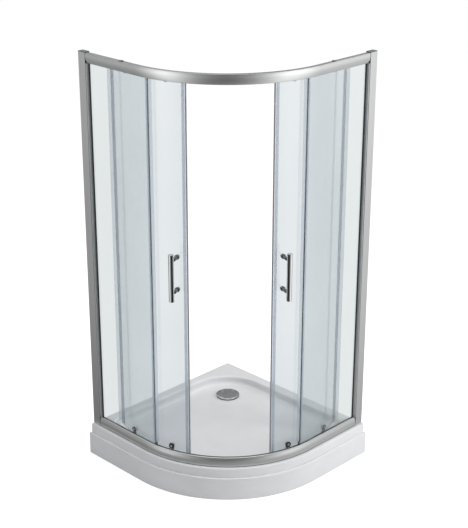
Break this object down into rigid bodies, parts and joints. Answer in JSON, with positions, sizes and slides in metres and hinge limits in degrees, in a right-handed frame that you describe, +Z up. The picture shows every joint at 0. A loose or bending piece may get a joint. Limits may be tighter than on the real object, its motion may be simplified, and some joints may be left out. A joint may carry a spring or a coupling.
{
  "type": "shower enclosure",
  "caption": "Quadrant shower enclosure: white tray with a curved skirt, aluminium rails and profiles, fixed glass at the walls and curved glass doors that slide apart in front.",
  "frame": {"origin": "middle of the footprint of the tray, on the floor", "axes": "+Z up; the left wall is the plane of the least x, the right wall the plane of the greatest y, and the curved front faces +x and -y"},
  "size_m": [0.9, 0.9, 1.88],
  "materials": {
    "white_acrylic": "glossy",
    "satin_aluminium": "satin anodised",
    "grey_plastic": "matte",
    "white_nylon": "matte",
    "black_plastic": "matte",
    "chrome": "polished",
    "zinc_steel": "zinc plated",
    "stainless_steel": "plain",
    "clear_glass": "clear",
    "clear_pvc": "translucent",
    "dark_rubber": "matte",
    "chipboard": "raw"
  },
  "bodies": {
    "frame": {"shower_tray": "white_acrylic", "tray_skirt": "white_acrylic", "skirt_brackets": "zinc_steel", "tray_base_board": "chipboard", "foot_lock_nuts": "zinc_steel", "foot_pads": "black_plastic", "foot_studs": "zinc_steel", "waste_flange": "chrome", "waste_gasket": "dark_rubber", "waste_body": "black_plastic", "left_wall_profile": "satin_aluminium", "right_wall_profile": "satin_aluminium", "left_side_profile": "satin_aluminium", "right_side_profile": "satin_aluminium", "profile_caps": "grey_plastic", "profile_screws": "stainless_steel", "top_rail": "satin_aluminium", "bottom_rail": "satin_aluminium", "rail_end_brackets": "grey_plastic", "rail_plugs": "grey_plastic", "left_fixed_glass": "clear_glass", "right_fixed_glass": "clear_glass", "left_fixed_gasket": "dark_rubber", "right_fixed_gasket": "dark_rubber", "left_fixed_edge_seal": "clear_pvc", "right_fixed_edge_seal": "clear_pvc", "fixed_panel_clips": "grey_plastic", "door_stops": "dark_rubber"},
    "waste_cover": {"waste_cover": "chrome", "waste_cup": "black_plastic"},
    "left_door": {"left_door_glass": "clear_glass", "left_magnet_seal": "clear_pvc", "left_tail_seal": "clear_pvc", "left_top_hangers": "stainless_steel", "left_bottom_carriers": "chrome", "left_roller_bolts": "stainless_steel", "left_handle_bar": "chrome", "left_handle_posts": "chrome", "left_handle_fixings": "chrome"},
    "right_door": {"right_door_glass": "clear_glass", "right_magnet_seal": "clear_pvc", "right_tail_seal": "clear_pvc", "right_top_hangers": "stainless_steel", "right_bottom_carriers": "chrome", "right_roller_bolts": "stainless_steel", "right_handle_bar": "chrome", "right_handle_posts": "chrome", "right_handle_fixings": "chrome"},
    "left_top_lead_wheel": {"left_top_lead_wheel": "white_nylon"},
    "left_top_trail_wheel": {"left_top_trail_wheel": "white_nylon"},
    "left_bottom_lead_wheel": {"left_bottom_lead_wheel": "white_nylon"},
    "left_bottom_trail_wheel": {"left_bottom_trail_wheel": "white_nylon"},
    "right_top_lead_wheel": {"right_top_lead_wheel": "white_nylon"},
    "right_top_trail_wheel": {"right_top_trail_wheel": "white_nylon"},
    "right_bottom_lead_wheel": {"right_bottom_lead_wheel": "white_nylon"},
    "right_bottom_trail_wheel": {"right_bottom_trail_wheel": "white_nylon"},
    "left_lead_release_button": {"left_lead_release_button": "chrome"},
    "left_trail_release_button": {"left_trail_release_button": "chrome"},
    "right_lead_release_button": {"right_lead_release_button": "chrome"},
    "right_trail_release_button": {"right_trail_release_button": "chrome"}
  },
  "joints": [
    {"name": "left_door_travel", "type": "hinge", "parent": "frame", "child": "left_door", "pos_m": [-0.13957, 0.18926, 0], "axis": [0, 0, 1], "range_deg": [-4.2, 16.82]},
    {"name": "right_door_travel", "type": "hinge", "parent": "frame", "child": "right_door", "pos_m": [-0.18926, 0.13957, 0], "axis": [0, 0, -1], "range_deg": [-2, 19.03]},
    {"name": "left_top_lead_wheel_spin", "type": "hinge", "parent": "left_door", "child": "left_top_lead_wheel", "pos_m": [0.0233, -0.37647, 1.8583], "axis": [0.3062, -0.952, 0], "continuous": true},
    {"name": "left_top_trail_wheel_spin", "type": "hinge", "parent": "left_door", "child": "left_top_trail_wheel", "pos_m": [-0.20556, -0.39391, 1.8583], "axis": [-0.1585, -0.9874, 0], "continuous": true},
    {"name": "left_bottom_lead_wheel_spin", "type": "hinge", "parent": "left_door", "child": "left_bottom_lead_wheel", "pos_m": [0.0233, -0.37647, 0.1627], "axis": [0.3062, -0.952, 0], "continuous": true},
    {"name": "left_bottom_trail_wheel_spin", "type": "hinge", "parent": "left_door", "child": "left_bottom_trail_wheel", "pos_m": [-0.20556, -0.39391, 0.1627], "axis": [-0.1585, -0.9874, 0], "continuous": true},
    {"name": "right_top_lead_wheel_spin", "type": "hinge", "parent": "right_door", "child": "right_top_lead_wheel", "pos_m": [0.38232, -0.00139, 1.8583], "axis": [0.963, -0.2693, 0], "continuous": true},
    {"name": "right_top_trail_wheel_spin", "type": "hinge", "parent": "right_door", "child": "right_top_trail_wheel", "pos_m": [0.39093, 0.22797, 1.8583], "axis": [0.9805, 0.1964, 0], "continuous": true},
    {"name": "right_bottom_lead_wheel_spin", "type": "hinge", "parent": "right_door", "child": "right_bottom_lead_wheel", "pos_m": [0.38232, -0.00139, 0.1627], "axis": [0.963, -0.2693, 0], "continuous": true},
    {"name": "right_bottom_trail_wheel_spin", "type": "hinge", "parent": "right_door", "child": "right_bottom_trail_wheel", "pos_m": [0.39093, 0.22797, 0.1627], "axis": [0.9805, 0.1964, 0], "continuous": true},
    {"name": "left_lead_release_press", "type": "slide", "parent": "left_door", "child": "left_lead_release_button", "axis": [-0.3062, 0.952, 0], "range_m": [0, 0.003], "stiffness_N_per_m": 400},
    {"name": "left_trail_release_press", "type": "slide", "parent": "left_door", "child": "left_trail_release_button", "axis": [0.1585, 0.9874, 0], "range_m": [0, 0.003], "stiffness_N_per_m": 400},
    {"name": "right_lead_release_press", "type": "slide", "parent": "right_door", "child": "right_lead_release_button", "axis": [-0.963, 0.2693, 0], "range_m": [0, 0.003], "stiffness_N_per_m": 400},
    {"name": "right_trail_release_press", "type": "slide", "parent": "right_door", "child": "right_trail_release_button", "axis": [-0.9805, -0.1964, 0], "range_m": [0, 0.003], "stiffness_N_per_m": 400},
    {"name": "waste_cover_lift", "type": "slide", "parent": "frame", "child": "waste_cover", "axis": [0, 0, 1], "range_m": [0, 0.1]}
  ],
  "couplings": [
    {"joint": "left_top_lead_wheel_spin", "follows": "left_door_travel", "ratio": -58.87},
    {"joint": "left_top_trail_wheel_spin", "follows": "left_door_travel", "ratio": -58.688},
    {"joint": "left_bottom_lead_wheel_spin", "follows": "left_door_travel", "ratio": 58.87},
    {"joint": "left_bottom_trail_wheel_spin", "follows": "left_door_travel", "ratio": 58.688},
    {"joint": "right_top_lead_wheel_spin", "follows": "right_door_travel", "ratio": 58.87},
    {"joint": "right_top_trail_wheel_spin", "follows": "right_door_travel", "ratio": 58.688},
    {"joint": "right_bottom_lead_wheel_spin", "follows": "right_door_travel", "ratio": -58.87},
    {"joint": "right_bottom_trail_wheel_spin", "follows": "right_door_travel", "ratio": -58.688}
  ]
}
